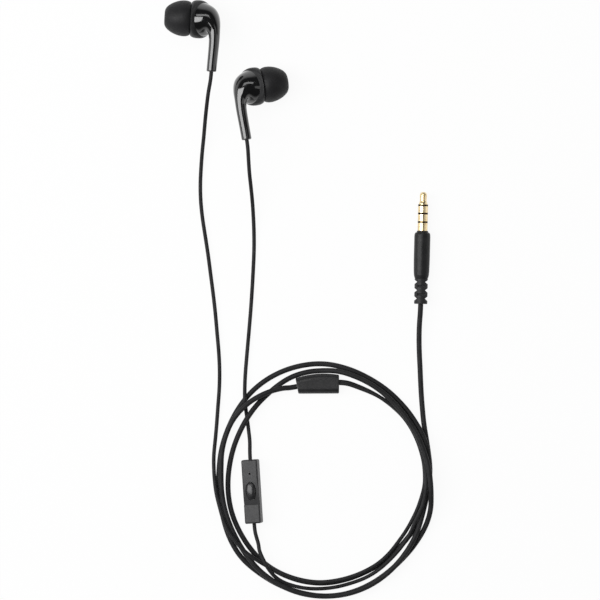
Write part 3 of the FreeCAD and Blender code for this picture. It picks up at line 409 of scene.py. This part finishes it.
# Clock angle in degrees, radius and height of each point of the looped stretches
MAIN_LOOP = [
    (60, 40.8, 1.0), (72, 38.5, 1.0), (84, 37.8, 1.0), (96, 36.7, 1.0), (108, 36.6, 1.0),
    (120, 35.8, 1.0), (132, 35.3, 1.0), (144, 35.1, 1.0), (156, 35.1, 1.0), (168, 35.4, 1.0),
    (180, 35.9, 1.0), (192, 36.0, 1.0), (204, 35.9, 1.0), (216, 35.8, 1.0), (228, 35.2, 1.0),
    (240, 34.7, 1.0), (252, 34.5, 1.0), (264, 34.2, 1.0), (276, 34.0, 1.0), (288, 34.2, 1.1),
    (298, 34.6, 1.8), (308, 35.3, 2.7), (318, 36.2, 2.0), (327, 37.0, 1.1), (336, 38.2, 1.0),
    (344, 39.15, 1.0), (352, 39.5, 1.1), (359, 39.5, 1.6), (366, 39.65, 2.4), (373, 39.3, 2.8),
    (384, 38.6, 3.1), (394, 37.9, 3.4), (404, 37.3, 3.8), (414, 36.9, 4.3), (424, 36.9, 5.0),
    (434, 37.0, 5.7), (443, 37.3, 6.1), (450, 37.6, 6.2), (457, 38.1, 5.5), (464, 38.9, 4.1),
    (471, 39.2, 2.6), (479, 39.1, 1.4), (490, 38.9, 1.0), (504, 39.1, 1.0), (516, 39.8, 1.0),
    (528, 40.4, 1.0), (540, 40.5, 1.0), (552, 40.1, 1.0), (564, 39.8, 1.0), (576, 39.6, 1.0),
    (588, 39.8, 1.0), (600, 38.9, 1.0), (612, 37.8, 1.0), (624, 37.4, 1.0), (636, 37.4, 1.0),
    (648, 38.2, 1.0), (660, 39.0, 1.0), (672, 40.2, 1.0), (684, 41.3, 1.0), (696, 41.9, 1.0),
    (708, 42.1, 1.0), (720, 42.0, 1.0), (732, 41.0, 1.0), (744, 40.0, 1.0), (756, 39.4, 1.0),
    (768, 38.9, 1.4), (776, 38.7, 2.5), (784, 38.7, 3.2), (792, 38.4, 3.4), (804, 37.6, 3.4),
    (816, 36.6, 3.4), (828, 36.5, 3.4), (840, 37.5, 3.3), (852, 38.3, 3.3), (864, 39.2, 3.4),
    (876, 40.0, 3.4), (888, 40.4, 3.4), (900, 40.4, 3.4), (912, 40.2, 3.4), (924, 39.6, 3.4),
    (936, 38.8, 3.4), (948, 37.6, 3.2), (960, 36.8, 3.1), (972, 36.5, 3.1), (984, 36.4, 3.2),
    (996, 36.6, 3.3), (1008, 38.0, 3.5), (1020, 39.0, 3.6), (1028, 39.2, 3.9),
    (1036, 38.9, 4.2), (1044, 38.1, 4.0), (1051, 37.2, 3.6), (1057, 36.3, 2.9)]
LEFT_LOOP = [
    (20, 36.1, 0.8), (30, 36.0, 0.7), (41, 36.1, 0.7), (52, 36.4, 0.7),
    (64, 36.2, 0.7), (76, 36.0, 0.8), (84, 35.8, 1.7), (92, 35.6, 2.1), (100, 34.8, 1.5),
    (108, 34.3, 0.7), (120, 33.8, 0.8), (129, 33.7, 1.6), (138, 34.2, 2.6), (148, 34.6, 2.7),
    (160, 34.7, 2.7), (172, 35.0, 2.7), (184, 35.5, 2.7), (196, 35.5, 2.7), (207, 35.6, 2.7),
    (215, 36.0, 2.8), (222, 36.5, 4.1), (229, 37.2, 5.2), (236, 37.7, 5.1), (243, 38.1, 4.4),
    (250, 38.1, 4.0), (257, 38.0, 3.9), (264, 38.4, 3.3), (271, 38.8, 2.4), (278, 39.5, 1.3),
    (284, 40.3, 0.8), (291, 41.3, 0.7), (298, 43.1, 0.7), (305, 46.0, 0.7)]
RIGHT_LOOP = [
    (20, 35.6, 2.3), (30, 35.9, 2.1), (40, 36.3, 2.1), (51, 36.7, 2.1),
    (62, 36.6, 2.3), (72, 36.3, 3.3), (80, 36.2, 4.4), (88, 36.2, 5.0), (96, 36.1, 5.2),
    (103, 35.8, 5.1), (109, 35.3, 4.7), (115, 35.1, 3.7), (122, 35.5, 2.8), (130, 35.7, 2.7),
    (138, 35.9, 2.7), (147, 36.5, 2.2), (156, 37.0, 1.2), (165, 37.1, 0.7), (174, 37.5, 0.8),
    (183, 37.9, 1.3), (192, 38.3, 1.8), (201, 38.4, 2.0), (207, 37.9, 2.8), (211.5, 36.8, 4.0),
    (215, 35.8, 4.6), (219, 34.6, 4.5), (223.5, 33.4, 4.1)]

# Free stretches
PLUG_LEAD = [
    (68.4, -90.6, 2.3), (68.3, -95.2, 1.6), (68.4, -100.2, 1.1), (68.7, -105.9, 1.0),
    (68.9, -111.2, 1.0), (69.2, -116.5, 1.0), (69.6, -121.3, 1.0)]
LEFT_FREE = [
    (-6.3, -8.2, 8.2), (-6.9, -12.9, 6.8), (-7.5, -18.2, 4.9), (-8.0, -23.9, 3.0),
    (-8.6, -29.2, 1.6), (-9.0, -34.5, 0.9), (-9.3, -40.2, 0.7), (-9.2, -46.2, 0.7),
    (-8.6, -52.3, 0.7), (-7.6, -58.6, 0.7), (-6.5, -65.7, 0.7), (-5.6, -72.8, 0.7),
    (-4.7, -79.6, 0.7), (-3.9, -86.7, 0.7), (-3.3, -93.8, 0.7), (-2.7, -100.2, 0.7),
    (-2.4, -106.6, 0.7), (-2.5, -113.0, 0.7)]
RIGHT_UPPER = [
    (7.9, -32.0, 9.3), (8.2, -37.0, 7.5), (8.8, -42.3, 5.2), (9.3, -47.6, 3.2),
    (9.6, -53.0, 1.7), (9.8, -58.3, 0.9), (9.8, -64.3, 0.7), (9.5, -71.1, 0.7),
    (9.1, -78.2, 0.7), (8.6, -85.6, 0.7), (8.0, -92.7, 0.7), (7.4, -99.5, 0.7),
    (6.9, -105.2, 0.7), (6.6, -109.4, 0.9), (6.5, -113.3, 2.1), (6.5, -116.5, 3.0),
    (6.7, -118.8, 2.3), (7.0, -121.5, 0.9), (7.4, -124.3, 0.7), (7.9, -128.2, 0.9),
    (8.35, -132.1, 1.6)]
REMOTE_TAIL = [(10.6, -165.6, 3.2), (11.4, -168.1, 3.8)]

# Where a cord leaves a piece, and a point straight out from it
LEFT_STEM = [(-5.23, -1.11, 9.07), (-5.39, -3.61, 9.07)]
RIGHT_STEM = [(7.31, -25.18, 10.38), (7.68, -27.65, 10.38)]
REMOTE_TOP = [(8.45, -138.30, 2.71), (8.29, -135.81, 2.71)]
REMOTE_BOTTOM = [(9.87, -160.85, 2.71), (10.03, -163.35, 2.71)]
PLUG_END = [(68.86, -83.13, 2.85), (68.80, -85.63, 2.85)]
SPLITTER_MAIN = [(25.01, -112.39, 2.3), (22.56, -112.89, 2.3)]
SPLITTER_LEFT = [(39.94, -110.65, 1.3), (42.44, -110.65, 1.3)]
SPLITTER_RIGHT = [(39.94, -111.25, 2.75), (42.44, -111.25, 2.75)]


def on_loop(rows):
    """Points of a looped stretch; each stands a little outside the curve that it bends."""
    points = []
    for index, (clock, radius, height) in enumerate(rows):
        before = rows[max(index - 1, 0)][0]
        after = rows[min(index + 1, len(rows) - 1)][0]
        radius = radius / math.cos(math.radians((after - before) / 4))
        turn = math.radians(clock)
        points.append((LOOP_AT[0] + radius * math.sin(turn),
                       LOOP_AT[1] + radius * math.cos(turn), height))
    return points


def lay_cord(name, route, diameter, replaces):
    """A cord as one smooth spline through the air and over the table."""
    curve = bpy.data.curves.new(name, "CURVE")
    curve.dimensions = "3D"
    spline = curve.splines.new("NURBS")
    spline.points.add(len(route) - 1)
    for point, (x, y, z) in zip(spline.points, route):
        point.co = ((x - ORIGIN[0]) * MM, (y - ORIGIN[1]) * MM, z * MM, 1)
    spline.order_u = 3
    spline.use_endpoint_u = True
    spline.resolution_u = 8
    bare = bpy.data.objects.new(name + "_line", curve)
    bpy.context.scene.collection.objects.link(bare)
    bpy.context.view_layer.update()
    line = bpy.data.meshes.new_from_object(bare.evaluated_get(
        bpy.context.evaluated_depsgraph_get()))
    bpy.data.meshes.remove(line)
    bpy.data.objects.remove(bare)
    curve.bevel_depth = diameter / 2 * MM
    curve.bevel_resolution = 6
    curve.use_fill_caps = True
    curve.materials.append(jacket)
    cord = bpy.data.objects.new(name, curve)
    bpy.context.scene.collection.objects.link(cord)
    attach(cord, BODY)
    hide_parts(*replaces)


lay_cord("left_cord_run", LEFT_STEM + LEFT_FREE + on_loop(LEFT_LOOP)[::-1]
         + SPLITTER_LEFT[::-1], THIN_D, ["left_cord"])
lay_cord("right_cord_run", RIGHT_STEM + RIGHT_UPPER + REMOTE_TOP[::-1], THIN_D,
         ["right_cord_upper"])
lay_cord("remote_cord_run", REMOTE_BOTTOM + REMOTE_TAIL + on_loop(RIGHT_LOOP)[::-1]
         + SPLITTER_RIGHT[::-1], THIN_D, ["right_cord_lower"])
lay_cord("main_cord_run", SPLITTER_MAIN + on_loop(MAIN_LOOP)[::-1] + PLUG_LEAD[::-1]
         + PLUG_END[::-1], MAIN_D, ["main_cord_coil", "main_cord_lead"])


# --- table and light --------------------------------------------------------------------------

def seen_directly(tree):
    """One for camera, glossy and transmission rays, and nothing for the rest."""
    path = tree.nodes.new("ShaderNodeLightPath")
    total = path.outputs["Is Camera Ray"]
    for kind in ("Is Glossy Ray", "Is Transmission Ray"):
        total = combined(tree, "MAXIMUM", total, path.outputs[kind])
    return total


def table():
    """White table: the camera sees it bright, and it keeps a soft shadow."""
    mesh = bpy.data.meshes.new("table")
    half = TABLE_HALF
    mesh.from_pydata([(-half, -half, 0), (half, -half, 0), (half, half, 0), (-half, half, 0)],
                     [], [(0, 1, 2, 3)])
    floor = bpy.data.objects.new("table", mesh)
    floor.location.z = -TABLE_GAP
    material = bpy.data.materials.new("white_table")
    material.use_nodes = True
    tree = material.node_tree
    tree.nodes.clear()
    share = tree.nodes.new("ShaderNodeMath")
    share.operation = "MULTIPLY"
    share.inputs[1].default_value = TABLE_GLOW
    tree.links.new(seen_directly(tree), share.inputs[0])
    paint = tree.nodes.new("ShaderNodeBsdfDiffuse")
    paint.inputs["Color"].default_value = (0.8, 0.8, 0.8, 1)
    glow = tree.nodes.new("ShaderNodeEmission")
    mix = tree.nodes.new("ShaderNodeMixShader")
    tree.links.new(share.outputs[0], mix.inputs["Fac"])
    tree.links.new(paint.outputs[0], mix.inputs[1])
    tree.links.new(glow.outputs[0], mix.inputs[2])
    output = tree.nodes.new("ShaderNodeOutputMaterial")
    tree.links.new(mix.outputs[0], output.inputs["Surface"])
    mesh.materials.append(material)
    bpy.context.scene.collection.objects.link(floor)


def softbox(name, centre, size, power):
    """A rectangular lamp aimed at the middle of the earphones."""
    light = bpy.data.lights.new(name, "AREA")
    light.shape = "RECTANGLE"
    light.size, light.size_y = size
    light.energy = power
    lamp = bpy.data.objects.new(name, light)
    lamp.location = centre
    aim = Vector(LAMP_TARGET) - lamp.location
    lamp.rotation_euler = aim.to_track_quat("-Z", "Y").to_euler()
    bpy.context.scene.collection.objects.link(lamp)


def surroundings():
    """A pale room: white round the horizon, dimmer to the right, darker overhead."""
    world = bpy.data.worlds.new("studio")
    world.use_nodes = True
    tree = world.node_tree
    tree.nodes.clear()
    way = tree.nodes.new("ShaderNodeTexCoord")
    axes = tree.nodes.new("ShaderNodeSeparateXYZ")
    tree.links.new(way.outputs["Generated"], axes.inputs[0])
    climb = ranged(tree, axes.outputs["Z"], (HORIZON_TOP, DARK_FROM), (HORIZON, OVERHEAD))
    climb.interpolation_type = "SMOOTHSTEP"
    dimmer = ranged(tree, axes.outputs["X"], (0.0, RIGHT_FROM), (1.0, RIGHT_SHARE))
    light = combined(tree, "MULTIPLY", climb.outputs["Result"], dimmer.outputs["Result"])
    room = tree.nodes.new("ShaderNodeMix")
    room.inputs["A"].default_value = FILL
    tree.links.new(light, room.inputs["B"])
    tree.links.new(seen_directly(tree), room.inputs["Factor"])
    sky = tree.nodes.new("ShaderNodeBackground")
    tree.links.new(room.outputs["Result"], sky.inputs["Strength"])
    sky.inputs["Color"].default_value = (1, 1, 1, 1)
    output = tree.nodes.new("ShaderNodeOutputWorld")
    tree.links.new(sky.outputs[0], output.inputs["Surface"])
    bpy.context.scene.world = world


TABLE_HALF, TABLE_GAP = 3.0, 0.00005    # metres: half its side, and how far it lies below
TABLE_GLOW = 0.93                       # share of plain white in what is seen of it
FILL = 0.22                             # even light of the room
HORIZON, OVERHEAD = 0.9, 0.05           # strengths of the room's two ends
HORIZON_TOP, DARK_FROM = 0.10, 0.45     # how far up they reach
RIGHT_SHARE, RIGHT_FROM = 0.8, 0.8      # the right against the left, and how far right

LAMP_TARGET = (0.026, -0.081, 0.005)    # metres

table()
surroundings()
softbox("left_softbox", (-0.55, -0.02, 0.80), (0.58, 1.1), 11)
softbox("right_softbox", (0.85, -0.1, 0.5), (0.3, 1.2), 0.8)
softbox("top_softbox", (0.03, 0.45, 0.9), (0.8, 0.25), 1.4)

bpy.context.scene.view_settings.view_transform = "Standard"
